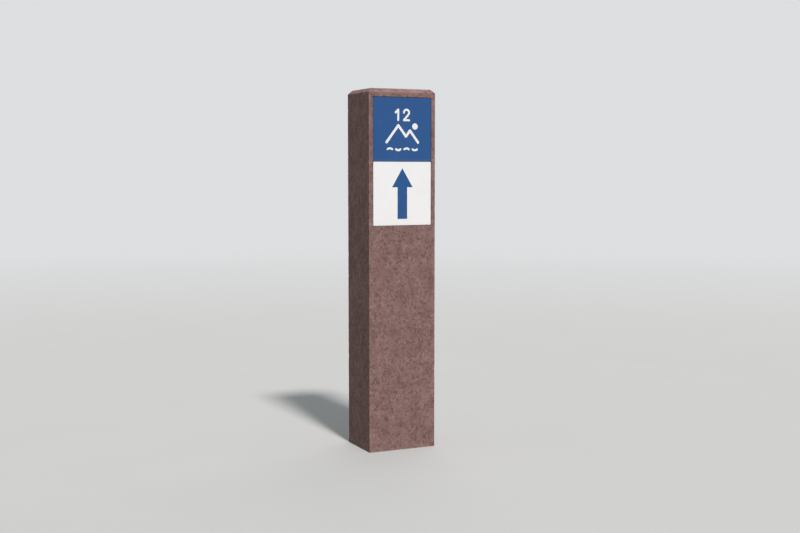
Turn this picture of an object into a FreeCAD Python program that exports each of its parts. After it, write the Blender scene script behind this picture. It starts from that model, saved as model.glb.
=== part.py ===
import FreeCAD, Part
import enum
import math
import os

import Sketcher
from FreeCAD import Rotation, Vector

# Trail marker post: a cast-stone shaft with a steel cage inside, two threaded ferrules in its base and
# a sign of two square plates set into its front face.
# Millimetres. The origin is the centre of the base, +Z is up, and the sign looks along -Y.

SIZES = {
    # Shaft
    "post_width": 200,
    "post_depth": 150,
    "post_height": 1000,
    "top_chamfer": 10,
    "arris_radius": 1.5,
    # Recess and plates of the sign
    "side_margin": 12,
    "top_margin": 13,
    "plate_gap": 1,
    "plate_corner_radius": 2,
    "plate_thickness": 3,
    "plate_skin": 1.4,
    "film_thickness": 0.4,
    "sign_setback": 0.8,
    "seal_setback": 2,
    # Bonding tape behind the plates
    "tape_thickness": 1.1,
    "tape_width": 25,
    "tape_edge_margin": 20,
    "tape_stud_gap": 9,
    # Blind-headed studs and their sleeves
    "stud_inset": 30,
    "stud_diameter": 5,
    "stud_head_overhang": 1.5,
    "stud_tip_chamfer": 0.6,
    "stud_play": 0.1,
    "stud_end_gap": 1,
    "sleeve_wall": 2.4,
    "sleeve_end_wall": 1.5,
    "sleeve_cage_gap": 6,
    # Cage
    "cover": 30,
    "bar_diameter": 10,
    "bar_end_cover": 35,
    "bar_play": 0.5,
    "link_diameter": 6,
    "link_end_offset": 25,
    "link_count": 7,
    # Spacer blocks that held the cage off the mould
    "block_seat": 24,
    "block_nose": 10,
    "block_skin": 1,
    "block_link_gap": 0.3,
    # Base ferrules and the bars through them
    "ferrule_bore": 14,
    "ferrule_wall": 4,
    "ferrule_end_wall": 25,
    "ferrule_bar_gap": 2.5,
    "thread_depth": 55,
    "cross_bar_diameter": 8,
    "cross_bar_play": 0.2,
    "cross_bar_end_gap": 9,
    # Marks cut from film
    "mark_thickness": 0.25,
    "arrow_margin": 17.5,
    "arrow_head_length": 52,
    "arrow_head_width": 62,
    "arrow_shaft_width": 29,
    "ridge_stroke": 7,
    "ridge_width": 95,
    "high_peak": 46,
    "low_peak": 32,
    "saddle": 16,
    "sun_diameter": 17,
    "sun_peak_gap": 7,
    "trail_dash": 19,
    "trail_stroke": 5.5,
    "trail_gap": 6,
    "trail_count": 4,
    "trail_bow": 2.5,
    "trail_drop": 19,
    "digit_height": 34,
    "digit_width": 21,
    "digit_stroke": 5.5,
    "digit_flag": 8,
    "digit_space": 4,
    "digit_rise": 8,
}

# Recess and plates, from the front face inwards
RECESS_WIDTH = "(Sizes.post_width - 2 * Sizes.side_margin)"
PLATE_SIDE = f"({RECESS_WIDTH} - 2 * Sizes.plate_gap)"
RECESS_HEIGHT = f"(2 * {PLATE_SIDE} + 3 * Sizes.plate_gap)"
RECESS_RADIUS = "(Sizes.plate_corner_radius + Sizes.plate_gap)"
RECESS_TOP = "(Sizes.post_height - Sizes.top_chamfer - Sizes.top_margin)"
RECESS_CENTRE = f"({RECESS_TOP} - {RECESS_HEIGHT} / 2)"
PLATE_CENTRE = {
    "upper": f"({RECESS_TOP} - Sizes.plate_gap - {PLATE_SIDE} / 2)",
    "lower": f"({RECESS_TOP} - 2 * Sizes.plate_gap - 3 * {PLATE_SIDE} / 2)",
}
FILM_FRONT = "(Sizes.sign_setback - Sizes.post_depth / 2)"
PLATE_FRONT = f"({FILM_FRONT} + Sizes.film_thickness)"
PLATE_BACK = f"({PLATE_FRONT} + Sizes.plate_thickness)"
RECESS_FLOOR = f"({PLATE_BACK} + Sizes.tape_thickness)"
RECESS_DEPTH = f"({RECESS_FLOOR} + Sizes.post_depth / 2)"

# Studs, sleeves and tape, from the plates
STUD_OFFSET = f"({PLATE_SIDE} / 2 - Sizes.stud_inset)"
STUD_HEAD = "(Sizes.stud_diameter + 2 * Sizes.stud_head_overhang)"
STUD_HEAD_THICKNESS = "(Sizes.plate_thickness - Sizes.plate_skin)"
STUD_SEAT = f"({STUD_HEAD} + 2 * Sizes.stud_play)"
SLEEVE_LENGTH = f"(Sizes.cover - {RECESS_DEPTH} - Sizes.sleeve_cage_gap)"
SLEEVE_BORE = "(Sizes.stud_diameter + 2 * Sizes.stud_play)"
SLEEVE_BORE_DEPTH = f"({SLEEVE_LENGTH} - Sizes.sleeve_end_wall)"
SLEEVE_DIAMETER = f"({SLEEVE_BORE} + 2 * Sizes.sleeve_wall)"
SHANK_LENGTH = f"(Sizes.tape_thickness + {SLEEVE_BORE_DEPTH} - Sizes.stud_end_gap)"
STUD_LENGTH = f"({STUD_HEAD_THICKNESS} + {SHANK_LENGTH})"
TAPE_HEIGHT = f"(2 * ({STUD_OFFSET} - Sizes.stud_diameter / 2 - Sizes.tape_stud_gap))"
TAPE_OFFSET = f"({PLATE_SIDE} / 2 - Sizes.tape_edge_margin - Sizes.tape_width / 2)"

# Cage, from the faces of the shaft inwards: each main bar lies in the bend of the links
LINK_HALF_WIDTH = "(Sizes.post_width / 2 - Sizes.cover - Sizes.link_diameter / 2)"
LINK_HALF_DEPTH = "(Sizes.post_depth / 2 - Sizes.cover - Sizes.link_diameter / 2)"
LINK_BEND = "(Sizes.link_diameter / 2 + Sizes.bar_play + Sizes.bar_diameter / 2)"
BAR_ACROSS = f"({LINK_HALF_WIDTH} - {LINK_BEND})"
BAR_BACK = f"({LINK_HALF_DEPTH} - {LINK_BEND})"
BAR_LENGTH = "(Sizes.post_height - 2 * Sizes.bar_end_cover)"
LINK_STEP = f"(({BAR_LENGTH} - 2 * Sizes.link_end_offset) / (Sizes.link_count - 1))"
BLOCK_REACH = "(Sizes.cover - Sizes.block_skin - Sizes.block_link_gap)"

# Base ferrules, from the main bars inwards
FERRULE_DIAMETER = "(Sizes.ferrule_bore + 2 * Sizes.ferrule_wall)"
FERRULE_INSET = f"((Sizes.bar_diameter + {FERRULE_DIAMETER}) / 2 + Sizes.ferrule_bar_gap)"
FERRULE_ACROSS = f"({BAR_ACROSS} - {FERRULE_INSET})"
FERRULE_LENGTH = "(Sizes.thread_depth + Sizes.ferrule_end_wall)"
CROSS_BAR_LEVEL = "(Sizes.thread_depth + Sizes.ferrule_end_wall / 2)"
CROSS_BAR_HOLE = "(Sizes.cross_bar_diameter + 2 * Sizes.cross_bar_play)"
CROSS_BAR_LENGTH = f"(2 * ({LINK_HALF_DEPTH} - Sizes.link_diameter / 2 - Sizes.cross_bar_end_gap))"

# Arrow, from the plate
ARROW_LENGTH = f"({PLATE_SIDE} - 2 * Sizes.arrow_margin)"

# Marks of the upper plate, above and below the feet of the ridge, which leave the whole centred
MARKS_ABOVE = "(Sizes.high_peak + Sizes.ridge_stroke / 2 + Sizes.digit_rise + Sizes.digit_height)"
MARKS_BELOW = "(Sizes.trail_drop + Sizes.trail_stroke / 2)"
RIDGE_FEET = f"(({MARKS_BELOW} - {MARKS_ABOVE}) / 2)"

SIDES = {"left": -1, "right": 1}
ENDS = {"front": -1, "back": 1}
FACE_TURNS = {"back": 0, "left": 90, "front": 180, "right": -90}


class SketchPoint(enum.IntEnum):
    """A sketch's own numbers for the points of a line, an arc or a circle."""

    START = 1
    END = 2
    CENTRE = 3


class SketchAxis(enum.IntEnum):
    """A sketch's own numbers for its axes."""

    ACROSS = -1
    UP = -2


START, END, CENTRE = SketchPoint
ORIGIN = (SketchAxis.ACROSS, START)

document = FreeCAD.newDocument("trail_marker_post")
sheet = document.addObject("Spreadsheet::Sheet", "Sizes")


def fill_sheet():
    """Write each driving dimension into the sheet, with its name beside it as the alias."""
    for row, (alias, size) in enumerate(SIZES.items(), start=1):
        sheet.set(f"A{row}", alias)
        sheet.set(f"B{row}", str(size))
        sheet.setAlias(f"B{row}", alias)
    document.recompute()


def value(expression):
    """Return what an expression over the sheet comes to."""
    return float(sheet.evalExpression(expression))


def place(thing, across=None, back=None, up=None):
    """Bind the place of a document object along X, Y and Z."""
    for letter, expression in (("x", across), ("y", back), ("z", up)):
        if expression is not None:
            thing.setExpression(f"Placement.Base.{letter}", expression)


def new_body(name):
    """Add an empty body."""
    return document.addObject("PartDesign::Body", name)


def new_sketch(body, name, role, outwards=None, up=None):
    """Add a sketch on an origin plane of a body, moved along the plane's normal and up the plane."""
    plane = next(feature for feature in body.Origin.OriginFeatures if feature.Role == role)
    sketch = body.newObject("Sketcher::SketchObject", f"{body.Name}_{name}")
    sketch.AttachmentSupport = (plane, [""])
    sketch.MapMode = "FlatFace"
    for letter, expression in (("z", outwards), ("y", up)):
        if expression is not None:
            sketch.setExpression(f"AttachmentOffset.Base.{letter}", expression)
    return sketch


def dimension(sketch, name, expression, kind, *references):
    """Add a dimension to a sketch and bind it to an expression over the sheet."""
    index = sketch.addConstraint(Sketcher.Constraint(kind, *references, value(expression)))
    sketch.renameConstraint(index, name)
    sketch.setExpression(f"Constraints.{name}", expression)


def draw_rectangle(sketch, width, height):
    """Draw a rectangle about the sketch's origin."""
    half_width = value(width) / 2
    half_height = value(height) / 2
    corners = [
        Vector(-half_width, -half_height),
        Vector(half_width, -half_height),
        Vector(half_width, half_height),
        Vector(-half_width, half_height),
    ]
    draw_loop(sketch, corners)
    for line, direction in enumerate(("Horizontal", "Vertical", "Horizontal", "Vertical")):
        sketch.addConstraint(Sketcher.Constraint(direction, line))
    sketch.addConstraint(Sketcher.Constraint("Symmetric", 0, START, 2, START, *ORIGIN))
    dimension(sketch, "width", width, "DistanceX", 0, START, 0, END)
    dimension(sketch, "height", height, "DistanceY", 1, START, 1, END)


def draw_loop(sketch, corners):
    """Draw a closed loop of straight lines, joined end to end."""
    count = len(corners)
    for line in range(count):
        sketch.addGeometry(Part.LineSegment(corners[line], corners[(line + 1) % count]), False)
    for line in range(count):
        sketch.addConstraint(Sketcher.Constraint("Coincident", line, END, (line + 1) % count, START))


def draw_rounded_rectangle(sketch, width, height, radius):
    """Draw a rectangle with round corners about the sketch's origin."""
    bend = value(radius)
    inner_width = value(width) / 2 - bend
    inner_height = value(height) / 2 - bend
    quarter = math.pi / 2
    corner_signs = ((1, -1), (1, 1), (-1, 1), (-1, -1))
    for corner, (sign_x, sign_y) in enumerate(corner_signs):
        centre = Vector(sign_x * inner_width, sign_y * inner_height)
        last_x, last_y = corner_signs[corner - 1]
        last_centre = Vector(last_x * inner_width, last_y * inner_height)
        start = (corner - 1) * quarter
        reach = Vector(math.cos(start), math.sin(start)) * bend
        sketch.addGeometry(Part.LineSegment(last_centre + reach, centre + reach), False)
        circle = Part.Circle(centre, Vector(0, 0, 1), bend)
        sketch.addGeometry(Part.ArcOfCircle(circle, start, start + quarter), False)
    count = sketch.GeometryCount
    for corner in range(len(corner_signs)):
        line = 2 * corner
        arc = line + 1
        sketch.addConstraint(Sketcher.Constraint("Tangent", line, END, arc, START))
        sketch.addConstraint(Sketcher.Constraint("Tangent", arc, END, (arc + 1) % count, START))
        sketch.addConstraint(Sketcher.Constraint("Vertical" if corner % 2 else "Horizontal", line))
        if corner:
            sketch.addConstraint(Sketcher.Constraint("Equal", 1, arc))
    sketch.addConstraint(Sketcher.Constraint("Symmetric", 1, CENTRE, 5, CENTRE, *ORIGIN))
    dimension(sketch, "width", width, "DistanceX", 6, START, 2, START)
    dimension(sketch, "height", height, "DistanceY", 0, START, 4, START)
    dimension(sketch, "radius", radius, "Radius", 1)


def draw_circle(sketch, diameter, up=None, across=None):
    """Draw a circle on the sketch's origin, or moved from it along one of the sketch's axes."""
    centre = Vector(value(across) if across else 0, value(up) if up else 0)
    sketch.addGeometry(Part.Circle(centre, Vector(0, 0, 1), value(diameter) / 2), False)
    if up:
        sketch.addConstraint(Sketcher.Constraint("PointOnObject", 0, CENTRE, SketchAxis.UP))
        dimension(sketch, "up", up, "DistanceY", *ORIGIN, 0, CENTRE)
    elif across:
        sketch.addConstraint(Sketcher.Constraint("PointOnObject", 0, CENTRE, SketchAxis.ACROSS))
        dimension(sketch, "across", across, "DistanceX", *ORIGIN, 0, CENTRE)
    else:
        sketch.addConstraint(Sketcher.Constraint("Coincident", 0, CENTRE, *ORIGIN))
    dimension(sketch, "diameter", diameter, "Diameter", 0)


def draw_four_circles(sketch, offset, diameter):
    """Draw a circle in each quarter of the sketch, at the same distance from both axes."""
    reach = value(offset)
    for circle, (sign_x, sign_y) in enumerate(corner_signs_of_plate()):
        centre = Vector(sign_x * reach, sign_y * reach)
        sketch.addGeometry(Part.Circle(centre, Vector(0, 0, 1), value(diameter) / 2), False)
        for kind, sign in (("DistanceX", sign_x), ("DistanceY", sign_y)):
            ends = (*ORIGIN, circle, CENTRE) if sign > 0 else (circle, CENTRE, *ORIGIN)
            dimension(sketch, f"{kind}_{circle}", offset, kind, *ends)
        dimension(sketch, f"diameter_{circle}", diameter, "Diameter", circle)


def corner_signs_of_plate():
    """Return the signs of X and Z for the four studs of a plate, in the order of their numbers."""
    return [(sign_x, sign_z) for sign_z in (1, -1) for sign_x in (-1, 1)]


def pad(body, sketch, length, backwards=False):
    """Raise a sketch into a solid, along the sketch's normal or against it."""
    feature = body.newObject("PartDesign::Pad", f"{sketch.Name}_pad")
    feature.Profile = sketch
    feature.Reversed = backwards
    feature.setExpression("Length", length)
    document.recompute()
    return feature


def pocket(body, sketch, depth, backwards=False):
    """Cut a sketch into a body, against the sketch's normal or along it."""
    feature = body.newObject("PartDesign::Pocket", f"{sketch.Name}_pocket")
    feature.Profile = sketch
    feature.Reversed = backwards
    feature.setExpression("Length", depth)
    document.recompute()
    return feature


def edge_names(feature, chosen):
    """Return the names of a feature's edges for which the test holds."""
    return [f"Edge{number}" for number, edge in enumerate(feature.Shape.Edges, start=1) if chosen(edge)]


def add_cylinder(name, diameter, height):
    """Add a solid cylinder that stands on its Placement along its own Z."""
    cylinder = document.addObject("Part::Cylinder", name)
    cylinder.setExpression("Radius", f"{diameter} / 2")
    cylinder.setExpression("Height", height)
    return cylinder


def add_blank():
    """Add the shaft before anything is cast into it: chamfered top, sign recess and sleeve holes."""
    body = new_body("shaft_blank")
    section = new_sketch(body, "section", "XY_Plane")
    draw_rectangle(section, "Sizes.post_width", "Sizes.post_depth")
    shaft = pad(body, section, "Sizes.post_height")

    top = shaft.Shape.BoundBox.ZMax
    top_edges = edge_names(shaft, lambda edge: all(math.isclose(end.Z, top) for end in edge.Vertexes))
    chamfer = body.newObject("PartDesign::Chamfer", "shaft_top_chamfer")
    chamfer.Base = (shaft, top_edges)
    chamfer.setExpression("Size", "Sizes.top_chamfer")
    document.recompute()

    corners = edge_names(chamfer, lambda edge: math.isclose(abs(edge.tangentAt(edge.FirstParameter).z), 1))
    arris = body.newObject("PartDesign::Fillet", "shaft_arris")
    arris.Base = (chamfer, corners)
    arris.setExpression("Radius", "Sizes.arris_radius")
    document.recompute()

    recess = new_sketch(body, "recess", "XZ_Plane", "Sizes.post_depth / 2", RECESS_CENTRE)
    draw_rounded_rectangle(recess, RECESS_WIDTH, RECESS_HEIGHT, RECESS_RADIUS)
    pocket(body, recess, RECESS_DEPTH)
    for level, centre in PLATE_CENTRE.items():
        holes = new_sketch(body, f"{level}_sleeve_holes", "XZ_Plane", f"-{RECESS_FLOOR}", centre)
        draw_four_circles(holes, STUD_OFFSET, SLEEVE_DIAMETER)
        pocket(body, holes, SLEEVE_LENGTH)
    return body


def add_main_bars():
    """Add the four main bars of the cage, one in each corner of the shaft."""
    bars = []
    for end, end_sign in ENDS.items():
        for side, side_sign in SIDES.items():
            bar = add_cylinder(f"main_bar_{end}_{side}", "Sizes.bar_diameter", BAR_LENGTH)
            place(bar, f"{side_sign} * {BAR_ACROSS}", f"{end_sign} * {BAR_BACK}", "Sizes.bar_end_cover")
            bars.append(bar)
    return bars


def link_level(index):
    """Return the height of a link, counted from 0 at the base."""
    return f"(Sizes.bar_end_cover + Sizes.link_end_offset + {index} * {LINK_STEP})"


def add_link(index):
    """Add one closed link: a round wire bent once round all four main bars."""
    body = new_body(f"link_{index + 1}")
    path = new_sketch(body, "path", "XY_Plane")
    draw_rounded_rectangle(path, f"2 * {LINK_HALF_WIDTH}", f"2 * {LINK_HALF_DEPTH}", LINK_BEND)
    wire = new_sketch(body, "wire", "XZ_Plane")
    draw_circle(wire, "Sizes.link_diameter", across=LINK_HALF_WIDTH)
    sweep = body.newObject("PartDesign::AdditivePipe", f"{body.Name}_sweep")
    sweep.Profile = wire
    sweep.Spine = path
    place(body, up=link_level(index))
    return body


def add_spacer_block(name, turn, index):
    """Add one block that sits on a link and narrows towards a face of the shaft.

    turn is the way to that face, in degrees from +Y, and index says which link the block sits on.
    """
    block = document.addObject("Part::Wedge", name)
    for end, size in (("", "Sizes.block_seat"), ("2", "Sizes.block_nose")):
        for letter in "XZ":
            block.setExpression(f"{letter}{end}min", f"-{size} / 2")
            block.setExpression(f"{letter}{end}max", f"{size} / 2")
    block.Ymin = 0
    block.setExpression("Ymax", BLOCK_REACH)
    rotation = Rotation(Vector(0, 0, 1), turn)
    towards = rotation.multVec(Vector(0, 1, 0))
    block.Placement.Rotation = rotation
    place(
        block,
        f"{round(towards.x)} * (Sizes.post_width / 2 - Sizes.cover + Sizes.block_link_gap)",
        f"{round(towards.y)} * (Sizes.post_depth / 2 - Sizes.cover + Sizes.block_link_gap)",
        link_level(index),
    )
    return block


def add_spacer_blocks():
    """Add the blocks on the second links from both ends, apart from the front one behind the sign."""
    last = round(value("Sizes.link_count")) - 1
    blocks = []
    for level, index in (("low", 1), ("high", last - 1)):
        for face, turn in FACE_TURNS.items():
            if level == "low" or face != "front":
                blocks.append(add_spacer_block(f"spacer_block_{level}_{face}", turn, index))
    return blocks


def add_base_ferrule(side, sign):
    """Add one closed-ended ferrule, bored to the tapping size and drilled across near its end."""
    body = new_body(f"base_ferrule_{side}")
    outline = new_sketch(body, "outline", "XY_Plane")
    draw_circle(outline, FERRULE_DIAMETER)
    pad(body, outline, FERRULE_LENGTH)
    bore = new_sketch(body, "bore", "XY_Plane")
    draw_circle(bore, "Sizes.ferrule_bore")
    pocket(body, bore, "Sizes.thread_depth", backwards=True)
    cross_hole = new_sketch(body, "cross_hole", "XZ_Plane", f"{FERRULE_DIAMETER} / 2")
    draw_circle(cross_hole, CROSS_BAR_HOLE, up=CROSS_BAR_LEVEL)
    pocket(body, cross_hole, FERRULE_DIAMETER)
    place(body, across=f"{sign} * {FERRULE_ACROSS}")
    return body


def add_cross_bar(side, sign):
    """Add the bar through one ferrule, which lies along Y."""
    bar = add_cylinder(f"ferrule_cross_bar_{side}", "Sizes.cross_bar_diameter", CROSS_BAR_LENGTH)
    bar.Placement.Rotation = Rotation(Vector(1, 0, 0), -90)
    place(bar, f"{sign} * {FERRULE_ACROSS}", f"-{CROSS_BAR_LENGTH} / 2", CROSS_BAR_LEVEL)
    return bar


def add_ferrule_cavity(side, sign, cross_bar):
    """Add the space that one ferrule and its cross bar take up in the shaft."""
    envelope = add_cylinder(f"ferrule_envelope_{side}", FERRULE_DIAMETER, FERRULE_LENGTH)
    place(envelope, across=f"{sign} * {FERRULE_ACROSS}")
    cavity = document.addObject("Part::Fuse", f"ferrule_cavity_{side}")
    cavity.Base = envelope
    cavity.Tool = cross_bar
    return cavity


def add_shaft(blank, cast_in):
    """Add the finished shaft: the blank less everything that is cast into it."""
    cavities = document.addObject("Part::Compound", "cast_in_cavities")
    cavities.Links = cast_in
    shaft = document.addObject("Part::Cut", "post_shaft")
    shaft.Base = blank
    shaft.Tool = cavities
    return shaft


def add_plate(level):
    """Add one sign plate, with a blind seat in its back for each stud's head."""
    body = new_body(f"{level}_sign_plate")
    outline = new_sketch(body, "outline", "XZ_Plane")
    draw_rounded_rectangle(outline, PLATE_SIDE, PLATE_SIDE, "Sizes.plate_corner_radius")
    pad(body, outline, "Sizes.plate_thickness")
    seats = new_sketch(body, "stud_seats", "XZ_Plane")
    draw_four_circles(seats, STUD_OFFSET, STUD_SEAT)
    pocket(body, seats, STUD_HEAD_THICKNESS, backwards=True)
    place(body, back=PLATE_BACK, up=PLATE_CENTRE[level])
    return body


def add_film(level):
    """Add the film that covers the front of one plate."""
    body = new_body(f"{level}_sign_film")
    outline = new_sketch(body, "outline", "XZ_Plane")
    draw_rounded_rectangle(outline, PLATE_SIDE, PLATE_SIDE, "Sizes.plate_corner_radius")
    pad(body, outline, "Sizes.film_thickness")
    place(body, back=PLATE_FRONT, up=PLATE_CENTRE[level])
    return body


def add_stud(level, number, sign_x, sign_z):
    """Add one stud: a flat head in the plate's back and a shank that reaches into its sleeve."""
    body = new_body(f"sign_stud_{level}_{number}")
    head = new_sketch(body, "head", "XZ_Plane")
    draw_circle(head, STUD_HEAD)
    pad(body, head, STUD_HEAD_THICKNESS, backwards=True)
    shank = new_sketch(body, "shank", "XZ_Plane")
    draw_circle(shank, "Sizes.stud_diameter")
    stem = pad(body, shank, STUD_LENGTH, backwards=True)
    tip = stem.Shape.BoundBox.YMax
    chamfer = body.newObject("PartDesign::Chamfer", f"{body.Name}_tip")
    chamfer.Base = (stem, edge_names(stem, lambda edge: math.isclose(edge.BoundBox.YMin, tip)))
    chamfer.setExpression("Size", "Sizes.stud_tip_chamfer")
    place(
        body,
        f"{sign_x} * {STUD_OFFSET}",
        f"{PLATE_BACK} - {STUD_HEAD_THICKNESS}",
        f"{PLATE_CENTRE[level]} + {sign_z} * {STUD_OFFSET}",
    )
    return body


def add_sleeve(level, number, sign_x, sign_z):
    """Add one blind sleeve, pushed into the stone flush with the recess's floor."""
    body = new_body(f"stud_sleeve_{level}_{number}")
    outline = new_sketch(body, "outline", "XZ_Plane")
    draw_circle(outline, SLEEVE_DIAMETER)
    pad(body, outline, SLEEVE_LENGTH, backwards=True)
    bore = new_sketch(body, "bore", "XZ_Plane")
    draw_circle(bore, SLEEVE_BORE)
    pocket(body, bore, SLEEVE_BORE_DEPTH)
    place(
        body,
        f"{sign_x} * {STUD_OFFSET}",
        RECESS_FLOOR,
        f"{PLATE_CENTRE[level]} + {sign_z} * {STUD_OFFSET}",
    )
    return body


def add_tape(level, side, sign):
    """Add one strip of bonding tape between a plate and the recess's floor, clear of the studs."""
    strip = document.addObject("Part::Box", f"bonding_tape_{level}_{side}")
    strip.setExpression("Length", "Sizes.tape_width")
    strip.setExpression("Width", "Sizes.tape_thickness")
    strip.setExpression("Height", TAPE_HEIGHT)
    place(
        strip,
        f"{sign} * {TAPE_OFFSET} - Sizes.tape_width / 2",
        PLATE_BACK,
        f"{PLATE_CENTRE[level]} - {TAPE_HEIGHT} / 2",
    )
    return strip


def add_seal():
    """Add the seal that fills the joint round and between the plates, from the floor outwards."""
    body = new_body("joint_seal")
    outline = new_sketch(body, "outline", "XZ_Plane")
    draw_rounded_rectangle(outline, RECESS_WIDTH, RECESS_HEIGHT, RECESS_RADIUS)
    thickness = f"({RECESS_DEPTH} - Sizes.seal_setback)"
    pad(body, outline, thickness)
    for level, centre in PLATE_CENTRE.items():
        window = new_sketch(body, f"{level}_window", "XZ_Plane", up=f"{centre} - {RECESS_CENTRE}")
        draw_rounded_rectangle(window, PLATE_SIDE, PLATE_SIDE, "Sizes.plate_corner_radius")
        pocket(body, window, thickness, backwards=True)
    place(body, back=RECESS_FLOOR, up=RECESS_CENTRE)
    return body


def add_arrow():
    """Add the arrow on the lower film, pointing up."""
    body = new_body("arrow_film")
    outline = new_sketch(body, "outline", "XZ_Plane")
    half_length = value(ARROW_LENGTH) / 2
    shoulder = half_length - value("Sizes.arrow_head_length")
    half_shaft = value("Sizes.arrow_shaft_width") / 2
    half_head = value("Sizes.arrow_head_width") / 2
    corners = [
        Vector(-half_shaft, -half_length),
        Vector(half_shaft, -half_length),
        Vector(half_shaft, shoulder),
        Vector(half_head, shoulder),
        Vector(0, half_length),
        Vector(-half_head, shoulder),
        Vector(-half_shaft, shoulder),
    ]
    draw_loop(outline, corners)
    for line, direction in ((1, "Vertical"), (6, "Vertical"), (2, "Horizontal"), (5, "Horizontal")):
        outline.addConstraint(Sketcher.Constraint(direction, line))
    for left, right in ((0, 1), (5, 3)):
        outline.addConstraint(Sketcher.Constraint("Symmetric", left, START, right, START, SketchAxis.UP))
    outline.addConstraint(Sketcher.Constraint("PointOnObject", 4, START, SketchAxis.UP))
    dimension(outline, "shaft_width", "Sizes.arrow_shaft_width", "DistanceX", 0, START, 0, END)
    dimension(outline, "head_width", "Sizes.arrow_head_width", "DistanceX", 5, START, 3, START)
    dimension(outline, "head_length", "Sizes.arrow_head_length", "DistanceY", 3, START, 4, START)
    dimension(outline, "whole_length", ARROW_LENGTH, "DistanceY", 0, START, 4, START)
    dimension(outline, "tip_height", f"{ARROW_LENGTH} / 2", "DistanceY", *ORIGIN, 4, START)
    pad(body, outline, "Sizes.mark_thickness")
    place(body, back=FILM_FRONT, up=PLATE_CENTRE["lower"])
    return body


def stroke(edges, width):
    """Return a solid line of film along the edges, with round ends and bends."""
    outline = Part.Wire(edges).makeOffset2D(width / 2, join=0, fill=False, openResult=False)
    return Part.Face(outline).extrude(Vector(0, -value("Sizes.mark_thickness"), 0))


def straight_run(points):
    """Return the straight edges from each point to the next."""
    return [Part.LineSegment(start, end).toShape() for start, end in zip(points, points[1:])]


def ridge_and_sun():
    """Return a ridge line with two peaks of the same slope, and a round sun over the lower one."""
    heights = [0, value("Sizes.high_peak"), value("Sizes.saddle"), value("Sizes.low_peak"), 0]
    climbs = [abs(end - start) for start, end in zip(heights, heights[1:])]
    slope = sum(climbs) / value("Sizes.ridge_width")
    across = [0]
    for climb in climbs:
        across.append(across[-1] + climb / slope)
    middle = across[-1] / 2
    feet = value(RIDGE_FEET)
    points = [Vector(x - middle, 0, feet + height) for x, height in zip(across, heights)]
    line_width = value("Sizes.ridge_stroke")
    radius = value("Sizes.sun_diameter") / 2
    flank = math.atan(slope)
    away = line_width / 2 + value("Sizes.sun_peak_gap") + radius
    centre = points[3] + Vector(math.sin(flank), 0, math.cos(flank)) * away
    outwards = Vector(0, -value("Sizes.mark_thickness"), 0)
    sun = Part.makeCylinder(radius, outwards.Length, centre, outwards)
    return [stroke(straight_run(points), line_width), sun]


def trail_dashes():
    """Return the dashes of a winding trail below the ridge, bowed up and down in turn."""
    count = round(value("Sizes.trail_count"))
    pitch = value("Sizes.trail_dash + Sizes.trail_gap")
    width = value("Sizes.trail_stroke")
    level = value(f"{RIDGE_FEET} - Sizes.trail_drop")
    reach = Vector((value("Sizes.trail_dash") - width) / 2, 0, 0)
    bow = Vector(0, 0, value("Sizes.trail_bow"))
    dashes = []
    for index in range(count):
        centre = Vector((index - (count - 1) / 2) * pitch, 0, level)
        crest = centre - bow if index % 2 else centre + bow
        arc = Part.Arc(centre - reach, crest, centre + reach)
        dashes.append(stroke([arc.toShape()], width))
    return dashes


def digit_one(centre, half_height):
    """Return the middle line of the digit 1."""
    flag = value("Sizes.digit_flag")
    top = centre + Vector(0, 0, half_height)
    return straight_run([top - Vector(flag, 0, flag), top, centre - Vector(0, 0, half_height)])


def digit_two(centre, half_height, half_width):
    """Return the middle line of the digit 2: an arc, a slant that leaves it smoothly, and a foot."""
    hub = centre + Vector(0, 0, half_height - half_width)
    foot = centre + Vector(-half_width, 0, -half_height)
    span = foot - hub
    leave = math.atan2(span.z, span.x) + math.acos(half_width / span.Length)
    touch = hub + Vector(math.cos(leave), 0, math.sin(leave)) * half_width
    start = hub - Vector(half_width, 0, 0)
    arc = Part.Arc(start, hub + Vector(0, 0, half_width), touch).toShape()
    return [arc] + straight_run([touch, foot, foot + Vector(2 * half_width, 0, 0)])


def number_digits():
    """Return the two digits of a plain number, above the ridge."""
    width = value("Sizes.digit_stroke")
    half_height = (value("Sizes.digit_height") - width) / 2
    half_width = (value("Sizes.digit_width") - width) / 2
    half_pitch = value("Sizes.digit_width + Sizes.digit_space") / 2
    level = value(f"{RIDGE_FEET} + {MARKS_ABOVE} - Sizes.digit_height / 2")
    one = digit_one(Vector(-half_pitch, 0, level), half_height)
    two = digit_two(Vector(half_pitch, 0, level), half_height, half_width)
    return [stroke(one, width), stroke(two, width)]


def add_marks(name, solids):
    """Add one group of marks, cut from film, on the upper plate."""
    marks = document.addObject("Part::Feature", name)
    marks.Shape = Part.makeCompound(solids)
    place(marks, back=FILM_FRONT, up=PLATE_CENTRE["upper"])
    return marks


def build():
    """Build every piece of the post and return them."""
    fill_sheet()
    cage = add_main_bars()
    cage += [add_link(index) for index in range(round(value("Sizes.link_count")))]
    cage += add_spacer_blocks()
    ferrules = [add_base_ferrule(side, sign) for side, sign in SIDES.items()]
    cross_bars = [add_cross_bar(side, sign) for side, sign in SIDES.items()]
    ferrule_cavities = [
        add_ferrule_cavity(side, sign, bar) for (side, sign), bar in zip(SIDES.items(), cross_bars)
    ]
    pieces = [add_shaft(add_blank(), cage + ferrule_cavities)] + cage + ferrules + cross_bars
    for level in PLATE_CENTRE:
        pieces += [add_plate(level), add_film(level)]
        for number, (sign_x, sign_z) in enumerate(corner_signs_of_plate(), start=1):
            pieces.append(add_stud(level, number, sign_x, sign_z))
            pieces.append(add_sleeve(level, number, sign_x, sign_z))
        pieces += [add_tape(level, side, sign) for side, sign in SIDES.items()]
    pieces += [add_seal(), add_arrow()]
    pieces.append(add_marks("ridge_film", ridge_and_sun() + trail_dashes()))
    pieces.append(add_marks("number_film", number_digits()))
    document.recompute()
    return pieces


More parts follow.
